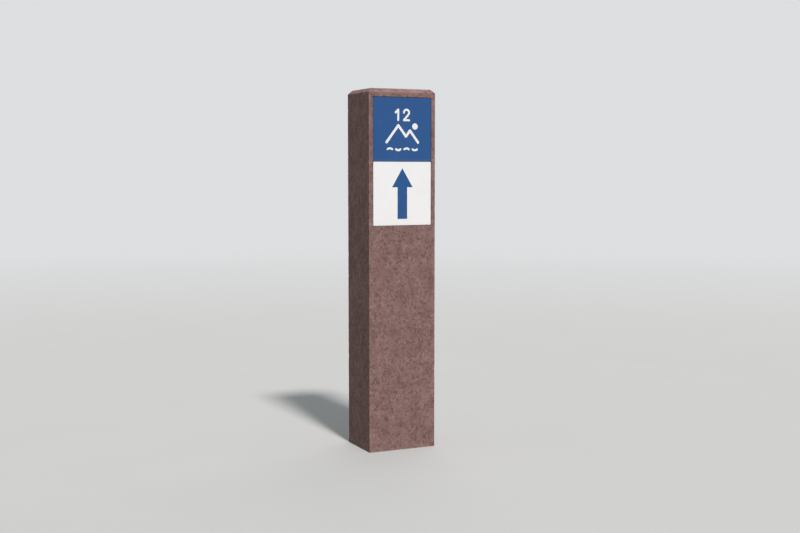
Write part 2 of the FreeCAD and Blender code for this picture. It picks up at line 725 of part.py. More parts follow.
def check(pieces):
    """Stop if anything in the document failed, or a piece has no sound solid."""
    for thing in document.Objects:
        if "Invalid" in thing.State or "Error" in thing.State:
            raise RuntimeError(f"{thing.Label} failed: {thing.State}")
    for piece in pieces:
        if piece.Shape.isNull() or not piece.Shape.isValid() or not piece.Shape.Solids:
            raise RuntimeError(f"{piece.Label} has no sound solid")


def write(pieces):
    """Write each piece to a file with its own name."""
    os.makedirs("parts", exist_ok=True)
    for piece in pieces:
        piece.Shape.exportStep(f"parts/{piece.Label}.step")
    print(f"{len(pieces)} pieces written")


all_pieces = build()
check(all_pieces)
write(all_pieces)
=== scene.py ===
import logging
import math
from dataclasses import dataclass
from enum import Enum
from functools import reduce
from typing import Any, Callable, Mapping, Sequence

import bmesh
import bpy
from bpy.types import Material, Node, NodeSocket, NodeTree, Object, Texture
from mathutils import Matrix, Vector


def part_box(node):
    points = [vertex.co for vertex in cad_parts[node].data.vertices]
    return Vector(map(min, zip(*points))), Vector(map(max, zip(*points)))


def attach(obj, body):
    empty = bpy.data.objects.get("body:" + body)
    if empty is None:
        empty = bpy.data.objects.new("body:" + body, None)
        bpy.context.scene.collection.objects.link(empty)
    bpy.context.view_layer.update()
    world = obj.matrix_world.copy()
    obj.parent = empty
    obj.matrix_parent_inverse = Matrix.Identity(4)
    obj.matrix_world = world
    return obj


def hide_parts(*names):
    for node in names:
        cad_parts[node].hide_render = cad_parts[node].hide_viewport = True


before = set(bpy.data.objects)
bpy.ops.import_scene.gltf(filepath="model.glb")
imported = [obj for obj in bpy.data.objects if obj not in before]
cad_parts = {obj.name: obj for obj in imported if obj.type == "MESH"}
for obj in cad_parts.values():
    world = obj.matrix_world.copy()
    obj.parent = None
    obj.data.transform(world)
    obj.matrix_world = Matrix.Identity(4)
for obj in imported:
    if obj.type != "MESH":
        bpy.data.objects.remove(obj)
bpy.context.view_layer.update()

# Looks of a trail marker post: a red-brown stone shaft with a sign of two square plates in its front face.
# Metres, in the frame of the solids: the base is at z 0, and the sign looks along -Y.

BODY = "root"

# How close two places lie that count as one, and the wider limit for edges and levels.
TOUCH = 1e-5
NEAR = 1e-4

# The range that holds most of a noise's values, and the one that holds nearly all of them.
MIDDLE = (0.3, 0.7)
WIDE = (0.2, 0.8)

# How far off a second pattern is taken, so that it doesn't follow the first.
APART = (3.1, 1.7, 5.3)

# Ripples of noise to one cell, where cells are given uneven outlines.
RIPPLES = 1.6

# The numbers of a Mix node's sockets for colours: its share and both colours, and its result.
MIX_INPUTS = (0, 6, 7)
MIX_RESULT = 2

Colour = tuple[float, float, float]
Span = tuple[float, float]
Test = Callable[[Vector, Vector], bool]
Inputs = Mapping[str | int, Any]

logging.basicConfig(level=logging.INFO, format="%(name)s: %(message)s")
log = logging.getLogger("marker_post")


def adjust(thing: Any, **settings: Any) -> None:
    """Set properties of something in Blender, by their names."""
    for name, setting in settings.items():
        setattr(thing, name, setting)


class Effect(Enum):
    """The effects that several finishes share."""

    MINERAL = "Mineral grain"
    DUST = "Settled dust"
    METAL = "Metal wear"
    SKIN = "Moulded skin"


class Graph:
    """Short ways to add nodes to one shader node tree and to join them."""

    def __init__(self, tree: NodeTree) -> None:
        """Keep the tree that the nodes go into."""
        self.tree = tree

    def feed(self, socket: NodeSocket, entry: Any) -> None:
        """Link an input to another node, or set its value.

        Args:
            socket: The input to fill.
            entry: An output socket, or a plain value. A colour may leave out its alpha.
        """
        if isinstance(entry, NodeSocket):
            self.tree.links.new(entry, socket)
        elif socket.type == "RGBA" and len(entry) == 3:
            socket.default_value = (*entry, 1.0)
        else:
            socket.default_value = entry

    def fill(self, sockets: Any, entries: Inputs) -> None:
        """Feed several inputs, by their names or numbers."""
        for name, entry in entries.items():
            self.feed(sockets[name], entry)

    def add(self, kind: str, inputs: Inputs | None = None, **settings: Any) -> Node:
        """Add one node.

        Args:
            kind: The node's type, without its leading ShaderNode.
            inputs: What goes into its inputs, by their names or numbers.
            settings: Values of the node's own properties.

        Returns:
            The new node.
        """
        node = self.tree.nodes.new("ShaderNode" + kind)
        adjust(node, **settings)
        self.fill(node.inputs, inputs or {})
        return node

    def place(self, scale: Sequence[float] = (1, 1, 1), turn: Sequence[float] = (0, 0, 0)) -> Any:
        """Return the object's own coordinates, stretched and turned for a pattern.

        Args:
            scale: The stretch along each axis.
            turn: The turn about each axis, in radians.

        Returns:
            The coordinates.
        """
        here = self.add("TexCoord").outputs["Object"]
        if tuple(scale) == (1, 1, 1) and tuple(turn) == (0, 0, 0):
            return here
        return self.add("Mapping", {"Vector": here, "Rotation": turn, "Scale": scale}).outputs["Vector"]

    def noise(self, where: Any, scale: Any, detail: float = 3, rough: float = 0.5, warp: float = 0) -> Any:
        """Return a noise between 0 and 1, by its features per metre and its layers of finer noise."""
        inputs = {"Vector": where, "Scale": scale, "Detail": detail, "Roughness": rough, "Distortion": warp}
        return self.add("TexNoise", inputs).outputs["Fac"]

    def cells(self, where: Any, scale: Any) -> Node:
        """Return a cell texture with a number of cells per metre."""
        return self.add("TexVoronoi", {"Vector": where, "Scale": scale}, feature="F1")

    def parts(self, colour: Any) -> Any:
        """Return the red, green and blue of a colour."""
        return self.add("SeparateColor", {"Color": colour}).outputs

    def ragged(self, where: Any, scale: Any, reach: float = 0.7) -> Any:
        """Return coordinates pulled about by noise, on which cells have uneven outlines.

        Args:
            where: The coordinates.
            scale: Cells per metre.
            reach: How far they are pulled, in cells.

        Returns:
            The pulled coordinates.
        """
        ripples = self.times(scale, RIPPLES)
        drift = self.add("TexNoise", {"Vector": where, "Scale": ripples, "Detail": 2}).outputs["Color"]
        centred = self.add("VectorMath", {0: drift, 1: (0.5, 0.5, 0.5)}, operation="SUBTRACT").outputs[0]
        share = self.math("DIVIDE", reach, scale)
        pull = self.add("VectorMath", {0: centred, "Scale": share}, operation="SCALE").outputs[0]
        return self.add("VectorMath", {0: where, 1: pull}, operation="ADD").outputs[0]

    def math(self, operation: str, first: Any, second: Any = 0.5) -> Any:
        """Return the result of one sum on one or two values."""
        return self.add("Math", {0: first, 1: second}, operation=operation).outputs[0]

    def times(self, first: Any, second: Any) -> Any:
        """Return the product of two values."""
        return self.math("MULTIPLY", first, second)

    def most(self, *values: Any) -> Any:
        """Return the greatest of several values."""
        return reduce(lambda first, second: self.math("MAXIMUM", first, second), values)

    def weigh(self, *parts: tuple[Any, float]) -> Any:
        """Return the sum of several values, each of them multiplied by its share."""
        shares = [self.times(value, share) for value, share in parts]
        return reduce(lambda first, second: self.math("ADD", first, second), shares)

    def ease(self, value: Any, low: float, high: float, start: float = 0.0, end: float = 1.0) -> Any:
        """Return a value eased from start to end while the input goes from low to high."""
        ends = {"Value": value, "From Min": low, "From Max": high, "To Min": start, "To Max": end}
        return self.add("MapRange", ends, interpolation_type="SMOOTHSTEP").outputs["Result"]

    def mix(self, share: Any, first: Any, second: Any, blend: str = "MIX") -> Any:
        """Return a colour mixed from two, by the share of the second."""
        entries = dict(zip(MIX_INPUTS, (share, first, second)))
        return self.add("Mix", entries, data_type="RGBA", blend_type=blend).outputs[MIX_RESULT]

    def coat(self, shader: Node, colour: Any, rough: Any, height: Any, depth: float) -> None:
        """Feed a shader with its colour, its roughness and a relief that is as deep as the depth."""
        relief = self.add("Bump", {"Height": height, "Distance": depth, "Strength": 1.0}).outputs["Normal"]
        self.fill(shader.inputs, {"Base Color": colour, "Roughness": rough, "Normal": relief})

    def effect(self, effect: Effect, inputs: Inputs) -> Any:
        """Place a shared effect and return its outputs."""
        return self.add("Group", inputs, node_tree=EFFECTS.get(effect)).outputs

    def rays(self) -> tuple[Any, Any]:
        """Tell apart the rays that show a surface from those that only light others.

        Returns:
            1 for a ray from the camera, and 1 for such a ray or for a mirrored or bent one.
        """
        path = self.add("LightPath").outputs
        mirrored = self.math("MAXIMUM", path["Is Glossy Ray"], path["Is Transmission Ray"])
        return path["Is Camera Ray"], self.math("MAXIMUM", path["Is Camera Ray"], mirrored)


class Effects:
    """Builds each shared effect once, as a shader node group."""

    # How many second flecks and pits go to one fleck's length, and how many specks to one crystal's.
    second_flecks = 1.35
    pits = 1.2
    specks = 2.7

    def __init__(self) -> None:
        """Start with no effect built."""
        self.built: dict[Effect, NodeTree] = {}
        self.makers = {
            Effect.MINERAL: self.mineral,
            Effect.DUST: self.dust,
            Effect.METAL: self.metal,
            Effect.SKIN: self.skin,
        }

    def get(self, effect: Effect) -> NodeTree:
        """Return an effect's node group, building it the first time.

        Args:
            effect: The effect.

        Returns:
            Its node group.
        """
        if effect not in self.built:
            self.built[effect] = bpy.data.node_groups.new(effect.value, "ShaderNodeTree")
            self.makers[effect](Graph(self.built[effect]))
        return self.built[effect]

    def open(self, graph: Graph, inputs: Mapping[str, float], outputs: Sequence[str]) -> tuple[Any, Any]:
        """Give an empty group its sockets.

        Args:
            graph: The group's nodes.
            inputs: Its value inputs, with their usual values. A Vector input comes first by itself.
            outputs: Its value outputs.

        Returns:
            What comes in, and what takes the values that go out.
        """
        sockets, nodes = graph.tree.interface, graph.tree.nodes
        sockets.new_socket("Vector", in_out="INPUT", socket_type="NodeSocketVector")
        for label, usual in inputs.items():
            socket = sockets.new_socket(label, in_out="INPUT", socket_type="NodeSocketFloat")
            socket.default_value = usual
        for label in outputs:
            sockets.new_socket(label, in_out="OUTPUT", socket_type="NodeSocketFloat")
        return nodes.new("NodeGroupInput").outputs, nodes.new("NodeGroupOutput").inputs

    def mineral(self, graph: Graph) -> None:
        """Build the grain of a stone or a cement: dark and pale flecks, tone, hue, pits and relief.

        Args:
            graph: The group's nodes.
        """
        sizes = {"Flecks": 110.0, "Crystals": 260.0, "Grain": 900.0}
        came, goes = self.open(graph, sizes, ("Dark", "Pale", "Tone", "Hue", "Pits", "Height"))
        here = came["Vector"]
        far = graph.add("VectorMath", {0: here, 1: APART}, operation="ADD").outputs[0]
        fleck = graph.noise(here, came["Flecks"], detail=4, rough=0.62, warp=0.5)
        closer = graph.times(came["Flecks"], self.second_flecks)
        second = graph.noise(far, closer, detail=4, rough=0.6, warp=0.4)
        coarse = graph.cells(graph.ragged(here, came["Crystals"]), came["Crystals"])
        crystal = graph.parts(coarse.outputs["Color"])
        small = graph.times(came["Crystals"], self.specks)
        fine = graph.cells(graph.ragged(far, small), small)
        speck = graph.parts(fine.outputs["Color"])
        grain = graph.noise(here, came["Grain"], detail=3, rough=0.65)
        spacing = graph.times(came["Flecks"], self.pits)
        hole = graph.cells(graph.ragged(far, spacing, reach=0.45), spacing)
        reach = graph.ease(graph.parts(hole.outputs["Color"])[1], low=0.80, high=1.0, end=0.16)
        pit = graph.ease(graph.math("SUBTRACT", reach, hole.outputs["Distance"]), low=0.0, high=0.07)
        dark = graph.most(
            graph.ease(fleck, low=0.45, high=0.37, end=0.6),
            graph.ease(crystal[0], low=0.76, high=0.99),
            graph.ease(speck[0], low=0.84, high=0.97, end=0.55),
        )
        pale = graph.most(
            graph.ease(second, low=0.57, high=0.66, end=0.6),
            graph.ease(crystal[1], low=0.80, high=0.99),
            graph.ease(speck[1], low=0.86, high=0.98, end=0.55),
        )
        height = graph.weigh((fleck, 0.5), (grain, 0.3), (fine.outputs["Distance"], -0.35), (pit, -0.7))
        tone = graph.weigh((grain, 0.5), (speck[2], 0.3), (crystal[2], 0.2))
        hue = graph.weigh((second, 0.65), (crystal[2], 0.35))
        graph.fill(goes, {"Dark": dark, "Pale": pale, "Tone": tone, "Hue": hue})
        graph.fill(goes, {"Pits": pit, "Height": height})

    def dust(self, graph: Graph) -> None:
        """Build the dust that rain leaves on an upright sheet, thickest along its low edge.

        Args:
            graph: The group's nodes.
        """
        places = {"Low Edge": 0.0, "Reach": 0.02}
        came, goes = self.open(graph, places, ("Dust", "Streak"))
        where = came["Vector"]
        up = graph.add("SeparateXYZ", {"Vector": where}).outputs["Z"]
        share = graph.math("DIVIDE", graph.math("SUBTRACT", up, came["Low Edge"]), came["Reach"])
        drift = graph.times(graph.noise(where, scale=160, detail=4, rough=0.6), 0.8)
        low = graph.ease(graph.math("ADD", share, drift), low=1.2, high=0.1)
        veil = graph.noise(where, scale=22, detail=5, rough=0.6)
        graph.feed(goes["Dust"], graph.most(low, graph.ease(veil, low=0.5, high=0.8, end=0.5)))
        thin = graph.add("Mapping", {"Vector": where, "Scale": (1, 1, 0.04)}).outputs["Vector"]
        streak = graph.noise(thin, scale=150, detail=3, rough=0.55)
        graph.feed(goes["Streak"], graph.ease(streak, low=0.45, high=0.75))

    def metal(self, graph: Graph) -> None:
        """Build the wear of a metal: fine drawn lines, spots and relief.

        Args:
            graph: The group's nodes.
        """
        sizes = {"Lines": 1400.0, "Spots": 120.0}
        came, goes = self.open(graph, sizes, ("Lines", "Spots", "Height"))
        lines = graph.noise(came["Vector"], came["Lines"], detail=3, rough=0.6)
        spots = graph.noise(came["Vector"], came["Spots"], detail=5, rough=0.65, warp=0.3)
        patches = graph.ease(spots, low=0.42, high=0.66)
        height = graph.math("ADD", lines, spots)
        graph.fill(goes, {"Lines": lines, "Spots": patches, "Height": height})

    def skin(self, graph: Graph) -> None:
        """Build the fine skin of a moulded or foamed piece.

        Args:
            graph: The group's nodes.
        """
        came, goes = self.open(graph, {"Cells": 1500.0}, ("Shade", "Height"))
        cell = graph.cells(came["Vector"], came["Cells"]).outputs["Distance"]
        cloud = graph.noise(came["Vector"], scale=90, detail=4, rough=0.6)
        height = graph.math("ADD", cell, graph.times(cloud, 0.4))
        graph.fill(goes, {"Shade": cloud, "Height": height})


EFFECTS = Effects()
MATERIALS: dict["Finish", Material] = {}


@dataclass(frozen=True)
class Finish:
    """What one kind of surface looks like."""

    name: str

    def material(self) -> Material:
        """Make the finish's material the first time that it is asked for.

        Returns:
            The material.
        """
        if self not in MATERIALS:
            made = bpy.data.materials.new(f"{self.name}_finish")
            made.use_nodes = True
            self.paint(Graph(made.node_tree), made.node_tree.nodes["Principled BSDF"])
            MATERIALS[self] = made
        return MATERIALS[self]

    def paint(self, graph: Graph, shader: Node) -> None:
        """Join the finish's nodes to its shader."""
        raise NotImplementedError(self.name)


@dataclass(frozen=True)
class StoneFinish(Finish):
    """Fine-grained red-brown stone, mottled with darker and paler grains."""

    ground: Colour = (0.233, 0.139, 0.130)
    blush: Colour = (0.255, 0.143, 0.133)
    olive: Colour = (0.230, 0.144, 0.130)
    dark: Colour = (0.105, 0.052, 0.047)
    pale: Colour = (0.410, 0.290, 0.278)
    stretch: tuple[float, float, float] = (1.0, 1.0, 0.8)
    blotches: float = 14.0
    clouds: float = 38.0
    # Patches that vary the paler wear and painted highlight along the arrises.
    wear_and_highlight_patches: float = 70.0
    flecks: float = 80.0
    crystals: float = 195.0
    grain: float = 900.0
    dimples: float = 140.0
    dark_share: float = 0.54
    pale_share: float = 0.31
    pit_share: float = 0.7
    dimple_share: float = 2.0
    rough: Span = (0.94, 0.78)
    sheen: float = 0.12
    relief: float = 0.0011

    def paint(self, graph: Graph, shader: Node) -> None:
        """Mix the ground, flecks, pits and the arrises, which are paled for wear and a painted highlight,
        and raise the grain.

        Args:
            graph: The material's nodes.
            shader: The shader that they feed.
        """
        where = graph.place(self.stretch)
        sizes = {"Flecks": self.flecks, "Crystals": self.crystals, "Grain": self.grain}
        grain = graph.effect(Effect.MINERAL, {"Vector": where, **sizes})
        blotch = graph.noise(where, self.blotches, detail=4, rough=0.6)
        cloud = graph.noise(where, self.clouds, detail=4, rough=0.6, warp=0.4)
        colour = graph.mix(graph.ease(blotch, *MIDDLE), self.ground, self.blush)
        colour = graph.mix(graph.ease(grain["Hue"], low=0.35, high=0.65), colour, self.olive)
        drift = graph.ease(blotch, *MIDDLE, start=1.10, end=0.90)
        shade = graph.times(graph.ease(cloud, *MIDDLE, start=0.86, end=1.14), drift)
        tone = graph.times(graph.ease(grain["Tone"], *WIDE, start=0.82, end=1.18), shade)
        grey = graph.add("CombineColor", {0: tone, 1: tone, 2: tone}).outputs[0]
        colour = graph.mix(1.0, colour, grey, blend="MULTIPLY")
        tints = (
            ("Dark", self.dark_share, self.dark),
            ("Pale", self.pale_share, self.pale),
            ("Pits", self.pit_share, self.dark),
        )
        for part, share, tint in tints:
            colour = graph.mix(graph.times(grain[part], share), colour, tint)
        # Near arrises, hips and chamfer edges the stone is painted paler: partly wear, partly a painted
        # highlight where the edge catches the light.
        arris = graph.add("Attribute", attribute_name="arris_wear").outputs["Fac"]
        patches = graph.noise(where, self.wear_and_highlight_patches, detail=4, rough=0.6)
        wear_and_highlight_share = graph.times(arris, graph.ease(patches, low=0.35, high=0.7, start=0.04, end=0.30))
        colour = graph.mix(wear_and_highlight_share, colour, self.pale)
        rough = graph.ease(grain["Tone"], *WIDE, *self.rough)
        dimple = graph.noise(where, self.dimples, detail=2, rough=0.5, warp=0.3)
        height = graph.math("ADD", grain["Height"], graph.times(dimple, self.dimple_share))
        graph.coat(shader, colour, rough, height, self.relief)
        shader.inputs["Specular IOR Level"].default_value = self.sheen


@dataclass(frozen=True)
class FilmFinish(Finish):
    """Coloured sign film: fine beads, a slight veil and a little dust along its low edge."""

    colour: Colour
    shade: Colour
    low_edge: float
    dust: Colour = (0.30, 0.26, 0.23)
    dust_share: float = 0.10
    dust_reach: float = 0.012
    clouds: float = 16.0
    cloud_share: float = 0.55
    beads: float = 1300.0
    bead_share: float = 0.35
    bead_depth: float = 0.00004
    rough: Span = (0.36, 0.46)
    streak_share: float = 0.08
    sheen: float = 0.3

    def paint(self, graph: Graph, shader: Node) -> None:
        """Mix the film's colour with its shade, beads, streaks and dust.

        Args:
            graph: The material's nodes.
            shader: The shader that they feed.
        """
        where = graph.place()
        cloud = graph.noise(where, self.clouds, detail=5, rough=0.6)
        beads = graph.cells(where, self.beads)
        bead = graph.times(graph.parts(beads.outputs["Color"])[0], self.bead_share)
        edge = {"Low Edge": self.low_edge, "Reach": self.dust_reach}
        soil = graph.effect(Effect.DUST, {"Vector": where, **edge})
        share = graph.math("ADD", graph.ease(cloud, *MIDDLE, end=self.cloud_share), bead)
        colour = graph.mix(share, self.colour, self.shade)
        colour = graph.mix(graph.times(soil["Dust"], self.dust_share), colour, self.dust)
        streak = graph.times(soil["Streak"], self.streak_share)
        rough = graph.math("ADD", graph.ease(cloud, *MIDDLE, *self.rough), streak)
        graph.coat(shader, colour, rough, beads.outputs["Distance"], self.bead_depth)
        shader.inputs["Specular IOR Level"].default_value = self.sheen


@dataclass(frozen=True)
class MetalFinish(Finish):
    """A metal with drawn lines, spots and, on a bar, raised ribs."""

    bright: Colour
    dull: Colour
    metallic: float = 1.0
    rough: Span = (0.28, 0.5)
    stretch: tuple[float, float, float] = (1.0, 1.0, 0.05)
    spot_share: float = 0.7
    line_share: float = 0.3
    line_height: float = 0.00003
    rib_step: float = 0.0
    rib_lean: float = 0.6
    rib_height: float = 0.0006
    rib_wear: float = 0.15

    def paint(self, graph: Graph, shader: Node) -> None:
        """Mix the bright and dull metal, and raise its lines or its ribs.

        Args:
            graph: The material's nodes.
            shader: The shader that they feed.
        """
        wear = graph.effect(Effect.METAL, {"Vector": graph.place(self.stretch)})
        spots = graph.effect(Effect.METAL, {"Vector": graph.place()})["Spots"]
        share = graph.weigh((spots, self.spot_share), (wear["Lines"], self.line_share))
        shader.inputs["Metallic"].default_value = self.metallic
        height, depth = wear["Height"], self.line_height
        if self.rib_step:
            lean = graph.place(turn=(self.rib_lean, 0.0, 0.0))
            up = graph.add("SeparateXYZ", {"Vector": lean}).outputs["Z"]
            turn = graph.times(up, 2 * math.pi / self.rib_step)
            rib = graph.ease(graph.math("SINE", turn), low=0.3, high=0.9)
            height = graph.math("ADD", rib, graph.times(height, self.rib_wear))
            depth = self.rib_height
        rough = graph.ease(share, 0.1, 0.9, *self.rough)
        graph.coat(shader, graph.mix(share, self.bright, self.dull), rough, height, depth)


@dataclass(frozen=True)
class CementFinish(Finish):
    """Grey fibre cement of the spacer blocks, with fine sand in it."""

    ground: Colour = (0.30, 0.29, 0.275)
    sand: Colour = (0.44, 0.42, 0.39)
    dark: Colour = (0.14, 0.135, 0.13)
    flecks: float = 240.0
    crystals: float = 700.0
    sand_share: float = 0.6
    dark_share: float = 0.4
    rough: Span = (0.95, 0.85)
    relief: float = 0.0004

    def paint(self, graph: Graph, shader: Node) -> None:
        """Mix the cement with its sand and its pores.

        Args:
            graph: The material's nodes.
            shader: The shader that they feed.
        """
        sizes = {"Flecks": self.flecks, "Crystals": self.crystals}
        grain = graph.effect(Effect.MINERAL, {"Vector": graph.place(), **sizes})
        colour = graph.mix(graph.times(grain["Pale"], self.sand_share), self.ground, self.sand)
        pores = graph.most(grain["Pits"], graph.times(grain["Dark"], self.dark_share))
        rough = graph.ease(grain["Tone"], *WIDE, *self.rough)
        graph.coat(shader, graph.mix(pores, colour, self.dark), rough, grain["Height"], self.relief)


@dataclass(frozen=True)
class SkinFinish(Finish):
    """A moulded or foamed soft material, such as rubber, nylon or tape."""

    colour: Colour
    shade: Colour
    cells: float = 1500.0
    depth: float = 0.00008
    rough: Span = (0.5, 0.7)

    def paint(self, graph: Graph, shader: Node) -> None:
        """Mix the two shades and raise the skin.

        Args:
            graph: The material's nodes.
            shader: The shader that they feed.
        """
        skin = graph.effect(Effect.SKIN, {"Vector": graph.place(), "Cells": self.cells})
        colour = graph.mix(graph.ease(skin["Shade"], *MIDDLE), self.colour, self.shade)
        rough = graph.ease(skin["Shade"], *MIDDLE, *self.rough)
        graph.coat(shader, colour, rough, skin["Height"], self.depth)


class Pick(Enum):
    """What can be picked on a mesh, with the name of its list."""

    VERT = "verts"
    EDGE = "edges"
    FACE = "faces"


class Bench:
    """Hand work on one mesh: picking its points, edges and faces, for operators to work on."""

    def __init__(self, piece: Object) -> None:
        """Take a piece, which is the active object, into edit mode."""
        self.piece = piece
        bpy.ops.object.mode_set(mode="EDIT")

    def pick_all(self) -> None:
        """Pick the whole mesh."""
        bpy.ops.mesh.select_mode(type=Pick.VERT.name)
        bpy.ops.mesh.select_all(action="SELECT")

    def pick(self, kind: Pick, test: Callable[[Any], bool]) -> None:
        """Pick the points, edges or faces that pass a test, and nothing else.

        Args:
            kind: What is picked.
            test: What each of them has to pass.
        """
        bpy.ops.mesh.select_mode(type=kind.name)
        bpy.ops.mesh.select_all(action="DESELECT")
        mesh = bmesh.from_edit_mesh(self.piece.data)
        for entry in getattr(mesh, kind.value):
            if test(entry):
                entry.select_set(True)
        bmesh.update_edit_mesh(self.piece.data)

    def pick_points(self, test: Callable[[Vector], bool]) -> None:
        """Pick the points that pass a test."""
        self.pick(Pick.VERT, lambda vertex: test(vertex.co))

    def pick_edges(self, test: Test) -> None:
        """Pick the edges whose two ends pass a test."""
        self.pick(Pick.EDGE, lambda edge: test(edge.verts[0].co, edge.verts[1].co))

    def pick_faces(self, test: Test) -> None:
        """Pick the faces whose centre and normal pass a test."""
        self.pick(Pick.FACE, lambda face: test(face.calc_center_median(), face.normal))

    def cut(self, axis: Vector, places: Sequence[float], test: Test | None = None) -> None:
        """Cut the mesh with planes square to an axis.

        Args:
            axis: The planes' normal.
            places: Where the planes lie along the axis.
            test: What the centre and normal of a face pass if it is to be cut, or None for all of them.
        """
        for place in places:
            if test:
                self.pick_faces(test)
            else:
                self.pick_all()
            bpy.ops.mesh.bisect(plane_co=axis * place, plane_no=axis)

    def done(self) -> Object:
        """Leave edit mode and return the piece."""
        bpy.ops.object.mode_set(mode="OBJECT")
        return self.piece


def clear_selection() -> None:
    """Leave nothing selected."""
    bpy.ops.object.select_all(action="DESELECT")


def apply_modifier(piece: Object, kind: str, **settings: Any) -> None:
    """Add a modifier to the active piece and apply it.

    Args:
        piece: The piece.
        kind: The modifier's type.
        settings: Values of the modifier's properties.
    """
    modifier = piece.modifiers.new(kind.lower(), kind)
    adjust(modifier, **settings)
    bpy.ops.object.modifier_apply(modifier=modifier.name)


def settle(piece: Object, finish: Finish, slot: str, *nodes: str) -> None:
    """Dress a finished piece, set it on its body and let it stand for its nodes.

    Args:
        piece: The piece, at the origin with its place in its mesh.
        finish: What it looks like.
        slot: The material slot's name, which is not used.
        nodes: The nodes that it stands for.
    """
    piece.data.materials.clear()
    piece.data.materials.append(finish.material())
    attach(piece, BODY)
    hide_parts(*nodes)
    log.info("%s: %d faces, %s", piece.name, len(piece.data.polygons), finish.name)


def dress(finish: Finish, *nodes: str) -> None:
    """Give nodes a finish, in the material slots that they already have.

    Args:
        finish: What they look like.
        nodes: The nodes' names.
    """
    for name in nodes:
        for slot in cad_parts[name].material_slots:
            slot.material = finish.material()
        log.info("%s: %s", name, finish.name)


@dataclass
class StoneShaft:
    """The stone shaft: a chamfered block with the sign's recess, eased arrises and open ferrule seats."""

    finish: StoneFinish
    node: str = "post_shaft"
    joint: str = "joint_seal"
    seats: tuple[str, ...] = ("base_ferrule_left", "base_ferrule_right")
    seat_sides: int = 64
    chamfer: float = 0.010
    arris: float = 0.0010
    rim: float = 0.0005
    recess_corner: float = 0.003
    recess_middle: float = 0.01
    facing: float = 0.99
    # How far from an arris the chips reach, and the paler wear and painted highlight.
    wear_and_highlight_reach: float = 0.006
    chip: float = 0.0008
    nibble: float = 0.0004
    sway: float = 0.0003
    level_step: float = 0.0025
    line_step: float = 0.0085
    edge_lines: tuple[float, ...] = (0.0024, 0.0038, 0.0056, 0.008, 0.011, 0.015, 0.020)
    smooth_angle: float = 28.0

    def __post_init__(self) -> None:
        """Read the block and its recess from the solids."""
        self.low, self.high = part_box(self.node)
        self.recess_low, self.recess_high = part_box(self.joint)

    def build(self) -> Object:
        """Model the shaft.

        Returns:
            The shaft.
        """
        self.shaft = self.block()
        self.open_seats()
        self.score()
        self.mark_arrises()
        self.weather()
        return self.shaft

    def block(self) -> Object:
        """Model the block with its chamfers, recess and eased edges.

        Returns:
            The block.
        """
        clear_selection()
        middle = (self.low + self.high) / 2
        bpy.ops.mesh.primitive_cube_add(size=1, location=middle, scale=self.high - self.low)
        shaft = bpy.context.object
        shaft.name = "stone_shaft"
        bpy.ops.object.transform_apply(location=True, rotation=True, scale=True)
        bench = Bench(shaft)
        top = self.high.z - TOUCH
        bench.pick_edges(lambda a, b: a.z > top and b.z > top)
        bpy.ops.mesh.bevel(offset=self.chamfer, segments=1, affect="EDGES")
        bench.pick_edges(self.is_arris)
        bpy.ops.mesh.bevel(offset=self.arris, segments=3, affect="EDGES")
        self.sink_recess(bench)
        bench.pick_edges(self.is_rim)
        bpy.ops.mesh.bevel(offset=self.rim, segments=2, affect="EDGES")
        return bench.done()

    def sink_recess(self, bench: Bench) -> None:
        """Cut the recess's outline into the front face, sink it and round its corners.

        Args:
            bench: The bench that the block is on.
        """
        middle = (self.recess_low + self.recess_high) / 2
        depth = self.recess_high.y - self.low.y
        behind = self.recess_high.y + depth / 2

        def faces_front(centre: Vector, normal: Vector) -> bool:
            """Say whether a face lies in the front."""
            return normal.y < -self.facing

        def in_recess(centre: Vector, normal: Vector) -> bool:
            """Say whether a face lies in the front and in the middle of the recess."""
            off = max(abs(centre.x - middle.x), abs(centre.z - middle.z))
            return faces_front(centre, normal) and off < self.recess_middle

        bench.cut(Vector((1, 0, 0)), (self.recess_low.x, self.recess_high.x), faces_front)
        bench.cut(Vector((0, 0, 1)), (self.recess_low.z, self.recess_high.z), faces_front)
        bench.pick_faces(in_recess)
        bpy.ops.mesh.extrude_region_move(TRANSFORM_OT_translate={"value": (0, depth, 0)})
        bench.pick_edges(lambda a, b: abs(a.y - b.y) > depth / 2 and max(a.y, b.y) < behind)
        bpy.ops.mesh.bevel(offset=self.recess_corner, segments=5, affect="EDGES")

    def outside(self, point: Vector) -> Span:
        """Return how far a point lies inside the shaft's side faces, along X and along Y."""
        return self.high.x - abs(point.x), self.high.y - abs(point.y)

    def is_arris(self, first: Vector, second: Vector) -> bool:
        """Say whether an edge is an upright arris, a hip or an edge of the chamfers.

        Args:
            first: One end of the edge.
            second: Its other end.

        Returns:
            Whether it is one of them.
        """
        x, y = self.outside(first)
        upright = x < NEAR and y < NEAR and (second - first).xy.length < NEAR
        shoulder = self.high.z - self.chamfer
        high = first.z > shoulder - NEAR and second.z > shoulder - NEAR
        return upright or high

    def is_rim(self, first: Vector, second: Vector) -> bool:
        """Say whether an edge lies on the recess's rim in the front face.

        Args:
            first: One end of the edge.
            second: Its other end.

        Returns:
            Whether both ends lie there.
        """
        for point in (first, second):
            in_front = abs(point.y - self.low.y) <= TOUCH
            in_x = self.recess_low.x - TOUCH < point.x < self.recess_high.x + TOUCH
            in_z = self.recess_low.z - TOUCH < point.z < self.recess_high.z + TOUCH
            if not (in_front and in_x and in_z):
                return False
        return True

    def open_seats(self) -> None:
        """Bore the seats of the ferrules into the base."""
        for node in self.seats:
            low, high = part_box(node)
            middle = (low + high) / 2
            clear_selection()
            bpy.ops.mesh.primitive_cylinder_add(
                vertices=self.seat_sides,
                radius=(high.x - low.x) / 2,
                depth=2 * (high.z - low.z),
                location=(middle.x, middle.y, low.z),
            )
            drill = bpy.context.object
            clear_selection()
            bpy.context.view_layer.objects.active = self.shaft
            apply_modifier(self.shaft, "BOOLEAN", object=drill, operation="DIFFERENCE", solver="EXACT")
            bpy.data.objects.remove(drill)

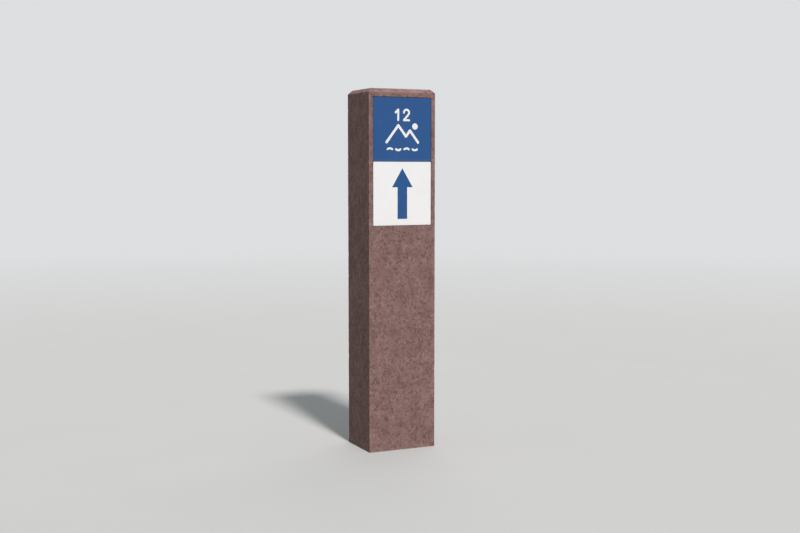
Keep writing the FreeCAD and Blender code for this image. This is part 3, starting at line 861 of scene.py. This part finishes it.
    def score(self) -> None:
        """Divide the shaft finely, closest together along its edges, so that it can weather."""
        bench = Bench(self.shaft)
        levels = range(1, round((self.high.z - self.low.z) / self.level_step))
        bench.cut(Vector((0, 0, 1)), [self.low.z + self.level_step * level for level in levels])
        for axis, half in ((Vector((1, 0, 0)), self.high.x), (Vector((0, 1, 0)), self.high.y)):
            edges = [half - distance for distance in self.edge_lines]
            inner = edges[-1]
            count = round(2 * inner / self.line_step)
            lines = [inner - 2 * inner * index / count for index in range(1, count)]
            bench.cut(axis, edges + lines + [-edge for edge in edges])
        bench.done()

    def arris_distance(self, point: Vector) -> float:
        """Measure how far a point lies from the nearest arris, hip or chamfer edge.

        Args:
            point: The point.

        Returns:
            The distance.
        """
        x, y = self.outside(point)
        down = self.high.z - point.z
        upright = math.hypot(x, y)
        if down < self.chamfer + self.wear_and_highlight_reach:
            shoulder = math.hypot(min(x, y), down - self.chamfer)
            crown = math.hypot(min(x, y) - self.chamfer, down)
            hip = abs(x - y) / math.sqrt(2) if down < self.chamfer else upright
            upright = min(upright, shoulder, crown, hip)
        return min(upright, math.hypot(min(x, y), point.z - self.low.z))

    def mark_arrises(self) -> None:
        """Store how near each point is to an arris, for chips and for the wear and painted highlight that
        pale it, and which faces weather.
        """
        arris = self.shaft.vertex_groups.new(name="arris")
        faces = self.shaft.vertex_groups.new(name="faces")
        shares = []
        for vertex in self.shaft.data.vertices:
            share = max(0.0, 1.0 - self.arris_distance(vertex.co) / self.wear_and_highlight_reach)
            share = share * share * (3 - 2 * share)
            shares.append(share)
            inside = min(self.outside(vertex.co)) > self.chamfer
            behind = vertex.co.y > self.low.y + self.rim
            sunk = inside and behind and vertex.co.z < self.high.z - NEAR
            if vertex.co.z < self.low.z + NEAR or sunk:
                continue
            faces.add([vertex.index], 1.0, "REPLACE")
            if share > 0:
                arris.add([vertex.index], share, "REPLACE")
        # Stored for the stone's paler arrises: wear and a painted highlight.
        wear = self.shaft.data.attributes.new("arris_wear", "FLOAT", "POINT")
        wear.data.foreach_set("value", shares)

    def clouds(self, name: str, **settings: float) -> Texture:
        """Make a cloud pattern for displacement.

        Args:
            name: The pattern's name.
            settings: Its size and depth, and how bright and sharp its clouds are.

        Returns:
            The pattern, held between 0 and 1.
        """
        pattern = bpy.data.textures.new(name, "CLOUDS")
        adjust(pattern, use_clamp=True, **settings)
        return pattern

    def weather(self) -> None:
        """Let the faces sway a little and chip the arrises, then smooth the shading."""
        broken = {"noise_depth": 3, "intensity": 0.20, "contrast": 4.0}
        rubbed = {"noise_depth": 2, "intensity": 0.45, "contrast": 2.4}
        sway = self.clouds("face_sway", noise_scale=0.12, noise_depth=1, intensity=1.0, contrast=1.0)
        chips = self.clouds("arris_chips", noise_scale=0.021, **broken)
        nibbles = self.clouds("arris_nibbles", noise_scale=0.0045, **rubbed)
        moves = (
            (sway, "faces", self.sway, 1.0),
            (chips, "arris", -self.chip, 0.0),
            (nibbles, "arris", -self.nibble, 0.0),
        )
        for pattern, group, strength, middle in moves:
            apply_modifier(
                self.shaft,
                "DISPLACE",
                texture=pattern,
                vertex_group=group,
                strength=strength,
                mid_level=middle,
                texture_coords="LOCAL",
                direction="NORMAL",
            )
        bpy.ops.object.shade_smooth_by_angle(angle=math.radians(self.smooth_angle))
        apply_modifier(self.shaft, "WEIGHTED_NORMAL", mode="FACE_AREA", weight=50, keep_sharp=True)

    def dress(self, shaft: Object) -> None:
        """Give the shaft its stone."""
        settle(shaft, self.finish, "stone", self.node)


@dataclass
class BaseFerrule:
    """A ferrule cast into the base, with rings in its bore for the thread of the anchor rods."""

    node: str
    finish: MetalFinish
    bore: float = 0.007
    thread_depth: float = 0.055
    thread_step: float = 0.002
    thread_cut: float = 0.0009
    mouth: float = 0.0014
    steps: int = 40
    smooth_angle: float = 35.0

    def __post_init__(self) -> None:
        """Read the ferrule's place and size from the solids."""
        low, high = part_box(self.node)
        self.axis = Vector(((low.x + high.x) / 2, (low.y + high.y) / 2, low.z))
        self.outer = (high.x - low.x) / 2
        self.top = high.z

    def in_bore(self, *points: Vector) -> bool:
        """Say whether points of the section lie in the bore."""
        return all(point.x < self.axis.x + self.bore + TOUCH for point in points)

    def build(self) -> Object:
        """Model half a section of the ferrule, cut its thread and spin it.

        Returns:
            The ferrule.
        """
        clear_selection()
        middle = self.axis + Vector((self.bore + self.outer, 0, self.thread_depth)) / 2
        bpy.ops.mesh.primitive_plane_add(size=1, location=middle, rotation=(math.pi / 2, 0, 0))
        ferrule = bpy.context.object
        ferrule.name = self.node.replace("base", "threaded")
        ferrule.scale = (self.outer - self.bore, self.thread_depth, 1)
        bpy.ops.object.transform_apply(location=True, rotation=True, scale=True)
        bench = Bench(ferrule)
        bench.pick_edges(self.in_bore)
        halves = 2 * round(self.thread_depth / self.thread_step)
        bpy.ops.mesh.subdivide(number_cuts=halves - 1)
        self.cut_thread(bench, halves)
        self.close_end(bench)
        bench.pick_all()
        bpy.ops.mesh.spin(steps=self.steps, angle=2 * math.pi, center=self.axis, axis=(0, 0, 1))
        bench.pick_all()
        bpy.ops.mesh.remove_doubles(threshold=TOUCH)
        bpy.ops.mesh.normals_make_consistent(inside=False)
        bench.done()
        bpy.ops.object.shade_smooth_by_angle(angle=math.radians(self.smooth_angle))
        return ferrule

    def cut_thread(self, bench: Bench, halves: int) -> None:
        """Push every other point of the bore outwards, and open the mouth.

        Args:
            bench: The bench that the section is on.
            halves: How many half steps of the thread there are.
        """
        half = self.thread_depth / halves

        def in_root(point: Vector) -> bool:
            """Say whether a point of the bore lies at the bottom of the thread."""
            return self.in_bore(point) and round((point.z - self.axis.z) / half) % 2 == 1

        bench.pick_points(in_root)
        bpy.ops.transform.translate(value=(self.thread_cut, 0, 0))
        bench.pick_points(lambda point: self.in_bore(point) and point.z < self.axis.z + TOUCH)
        bpy.ops.transform.translate(value=(self.mouth, 0, 0))

    def close_end(self, bench: Bench) -> None:
        """Carry the section up past the thread, to the axis.

        Args:
            bench: The bench that the section is on.
        """
        end = self.axis.z + self.thread_depth
        above = end - TOUCH
        bench.pick_edges(lambda a, b: min(a.z, b.z) > above)
        bpy.ops.mesh.extrude_region_move(TRANSFORM_OT_translate={"value": (0, 0, self.top - end)})
        bench.pick_edges(lambda a, b: self.in_bore(a, b) and min(a.z, b.z) > above)
        bpy.ops.mesh.extrude_region_move(TRANSFORM_OT_translate={"value": (-self.bore, 0, 0)})
        bench.pick_all()
        bpy.ops.mesh.delete(type="ONLY_FACE")

    def dress(self, ferrule: Object) -> None:
        """Give the ferrule its plated steel."""
        settle(ferrule, self.finish, "plated_steel", self.node)


@dataclass
class Cage:
    """The steel cage in the shaft, with its spacer blocks and the bars through the ferrules."""

    bar: MetalFinish
    link: MetalFinish
    cement: CementFinish

    def dress(self) -> None:
        """Give each kind of piece its finish."""
        names = sorted(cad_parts)
        dress(self.bar, *[name for name in names if name.startswith("main_bar")])
        dress(self.link, *[name for name in names if name.startswith(("link", "ferrule_cross_bar"))])
        dress(self.cement, *[name for name in names if name.startswith("spacer_block")])


class Level(Enum):
    """The two plates of the sign."""

    UPPER = "upper"
    LOWER = "lower"


@dataclass
class SignPlate:
    """One square plate with its film, studs, sleeves and bonding tape."""

    level: Level
    film: FilmFinish
    marks: Mapping[str, FilmFinish]
    aluminium: MetalFinish
    stud: MetalFinish
    sleeve: SkinFinish
    tape: SkinFinish
    studs: int = 4

    def dress(self) -> None:
        """Give each piece of the plate its finish."""
        level = self.level.value
        dress(self.aluminium, f"{level}_sign_plate")
        dress(self.film, f"{level}_sign_film")
        for node, finish in self.marks.items():
            dress(finish, node)
        for number in range(1, self.studs + 1):
            dress(self.stud, f"sign_stud_{level}_{number}")
            dress(self.sleeve, f"stud_sleeve_{level}_{number}")
        for side in ("left", "right"):
            dress(self.tape, f"bonding_tape_{level}_{side}")


def direction(turn: float, rise: float) -> Vector:
    """Return the way to a place, by its turn from the sign's front and its rise, in degrees."""
    around, up = math.radians(turn), math.radians(rise)
    return Vector((math.sin(around) * math.cos(up), -math.cos(around) * math.cos(up), math.sin(up)))


@dataclass(frozen=True)
class Lamp:
    """A far light: how far round from the sign's front it hangs, how high and how wide, in degrees."""

    name: str
    turn: float
    rise: float
    softness: float
    power: float
    colour: Colour

    def hang(self) -> None:
        """Hang the light in the scene."""
        lamp = bpy.data.lights.new(self.name, "SUN")
        adjust(lamp, energy=self.power, color=self.colour, angle=math.radians(self.softness))
        hung = bpy.data.objects.new(self.name, lamp)
        bpy.context.scene.collection.objects.link(hung)
        hung.rotation_euler = direction(self.turn, self.rise).to_track_quat("Z", "Y").to_euler()


@dataclass
class Studio:
    """A pale floor, soft light from the front and above, a weak light from behind, and the camera."""

    camera_place: Vector = Vector((-1.3699, -3.0047, 0.7755))
    camera_turn: float = -24.94
    camera_dip: float = 4.64
    lens: float = 52.89
    sensor: float = 36.0
    sight: float = 200.0
    lamps: tuple[Lamp, ...] = (
        Lamp("key_light", turn=-1.3, rise=52.0, softness=7.0, power=3.52, colour=(1.0, 0.945, 0.925)),
        Lamp("fill_light", turn=140.0, rise=35.0, softness=60.0, power=0.8, colour=(1.0, 0.98, 0.96)),
    )
    sky: Colour = (0.245, 0.277, 0.282)
    backdrop: Colour = (0.72, 0.735, 0.745)
    floor: Colour = (0.495, 0.502, 0.50)
    floor_fade: float = 0.985
    floor_glow: Colour = (0.28, 0.29, 0.295)
    floor_rough: float = 0.9
    floor_sheen: float = 0.1
    floor_reach: float = 40.0
    floor_sides: int = 96
    haze_span: Span = (1.6, 9.0)

    def build(self) -> None:
        """Set up the floor, the light, the world and the camera."""
        bpy.context.scene.view_settings.view_transform = "Standard"
        self.lay_floor()
        for lamp in self.lamps:
            lamp.hang()
        self.paint_world()
        self.set_camera()

    def lay_floor(self) -> None:
        """Lay a wide floor that fades into the backdrop."""
        clear_selection()
        bpy.ops.mesh.primitive_circle_add(
            vertices=self.floor_sides, radius=self.floor_reach, fill_type="NGON"
        )
        floor = bpy.context.object
        floor.name = "studio_floor"
        made = bpy.data.materials.new("studio_floor")
        made.use_nodes = True
        graph = Graph(made.node_tree)
        shader = made.node_tree.nodes["Principled BSDF"]
        where = graph.place()
        tone = graph.ease(graph.noise(where, scale=3, detail=4, rough=0.5), *MIDDLE)
        camera, shown = graph.rays()
        pale = graph.mix(tone, self.floor, tuple(self.floor_fade * part for part in self.floor))
        graph.feed(shader.inputs["Base Color"], graph.mix(shown, self.floor_glow, pale))
        shader.inputs["Roughness"].default_value = self.floor_rough
        shader.inputs["Specular IOR Level"].default_value = self.floor_sheen
        away = graph.add("VectorMath", {0: where}, operation="LENGTH").outputs["Value"]
        share = graph.times(graph.ease(away, *self.haze_span), camera)
        haze = graph.add("Emission", {"Color": self.backdrop, "Strength": 1.0}).outputs[0]
        both = graph.add("MixShader", {0: share, 1: shader.outputs[0], 2: haze}).outputs[0]
        graph.feed(made.node_tree.nodes["Material Output"].inputs["Surface"], both)
        floor.data.materials.append(made)

    def paint_world(self) -> None:
        """Light the shade faintly, and show the backdrop where nothing stands."""
        world = bpy.data.worlds.new("studio")
        bpy.context.scene.world = world
        world.use_nodes = True
        graph = Graph(world.node_tree)
        sky = world.node_tree.nodes["Background"]
        graph.feed(sky.inputs["Color"], self.sky)
        wall = graph.add("Background", {"Color": self.backdrop, "Strength": 1.0})
        shown = graph.rays()[1]
        both = graph.add("MixShader", {0: shown, 1: sky.outputs[0], 2: wall.outputs[0]}).outputs[0]
        graph.feed(world.node_tree.nodes["World Output"].inputs["Surface"], both)

    def set_camera(self) -> None:
        """Stand the camera where the photograph was taken from."""
        lens = bpy.data.cameras.new("camera")
        adjust(lens, lens=self.lens, sensor_width=self.sensor, clip_end=self.sight)
        camera = bpy.data.objects.new("camera", lens)
        bpy.context.scene.collection.objects.link(camera)
        ahead = -direction(self.camera_turn, self.camera_dip)
        camera.location = self.camera_place
        camera.rotation_euler = ahead.to_track_quat("-Z", "Y").to_euler()
        bpy.context.scene.camera = camera


def dress_sign() -> None:
    """Dress both plates of the sign and the joint around them."""
    blue, navy = (0.023, 0.092, 0.268), (0.020, 0.084, 0.250)
    white, cream = (0.89, 0.895, 0.90), (0.86, 0.865, 0.87)
    foam = {"cells": 2600.0, "depth": 0.00015, "rough": (0.8, 0.95)}
    across = (0.05, 1.0, 1.0)
    upper_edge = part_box("upper_sign_film")[0].z
    lower_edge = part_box("lower_sign_film")[0].z
    aluminium = MetalFinish("plate_aluminium", (0.66, 0.67, 0.68), (0.50, 0.51, 0.52), stretch=across)
    stud = MetalFinish("stud_steel", (0.60, 0.60, 0.59), (0.42, 0.42, 0.41))
    sleeve = SkinFinish("sleeve_nylon", (0.62, 0.60, 0.54), (0.54, 0.52, 0.46))
    tape = SkinFinish("tape_foam", (0.16, 0.16, 0.165), (0.11, 0.11, 0.115), **foam)
    behind = (aluminium, stud, sleeve, tape)
    blue_plate = FilmFinish("film_blue", blue, navy, upper_edge)
    white_plate = FilmFinish("film_white", white, cream, lower_edge)
    white_marks = FilmFinish("film_white_marks", white, cream, upper_edge)
    blue_arrow = FilmFinish("film_blue_arrow", blue, navy, lower_edge)
    marks = {"ridge_film": white_marks, "number_film": white_marks}
    SignPlate(Level.UPPER, blue_plate, marks, *behind).dress()
    SignPlate(Level.LOWER, white_plate, {"arrow_film": blue_arrow}, *behind).dress()
    dress(SkinFinish("seal_rubber", (0.022, 0.022, 0.023), (0.038, 0.037, 0.036)), "joint_seal")


def dress_cage() -> None:
    """Dress the cage, with scale and rust on its steel and ribs on its main bars."""
    scaled = {"metallic": 0.6, "rough": (0.55, 0.85), "rib_step": 0.007}
    drawn = {"metallic": 0.6, "rough": (0.5, 0.8)}
    bar = MetalFinish("bar_steel", (0.115, 0.10, 0.095), (0.16, 0.075, 0.04), **scaled)
    link = MetalFinish("link_steel", (0.13, 0.115, 0.11), (0.16, 0.08, 0.045), **drawn)
    Cage(bar, link, CementFinish("spacer_cement")).dress()


def main() -> None:
    """Build the studio, then each sub-assembly in turn."""
    Studio().build()
    shaft = StoneShaft(StoneFinish("stone"))
    shaft.dress(shaft.build())
    plated = MetalFinish("plated_steel", (0.62, 0.63, 0.64), (0.40, 0.41, 0.42))
    for side in ("left", "right"):
        ferrule = BaseFerrule(f"base_ferrule_{side}", plated)
        ferrule.dress(ferrule.build())
    dress_cage()
    dress_sign()


if __name__ == "__main__":
    main()
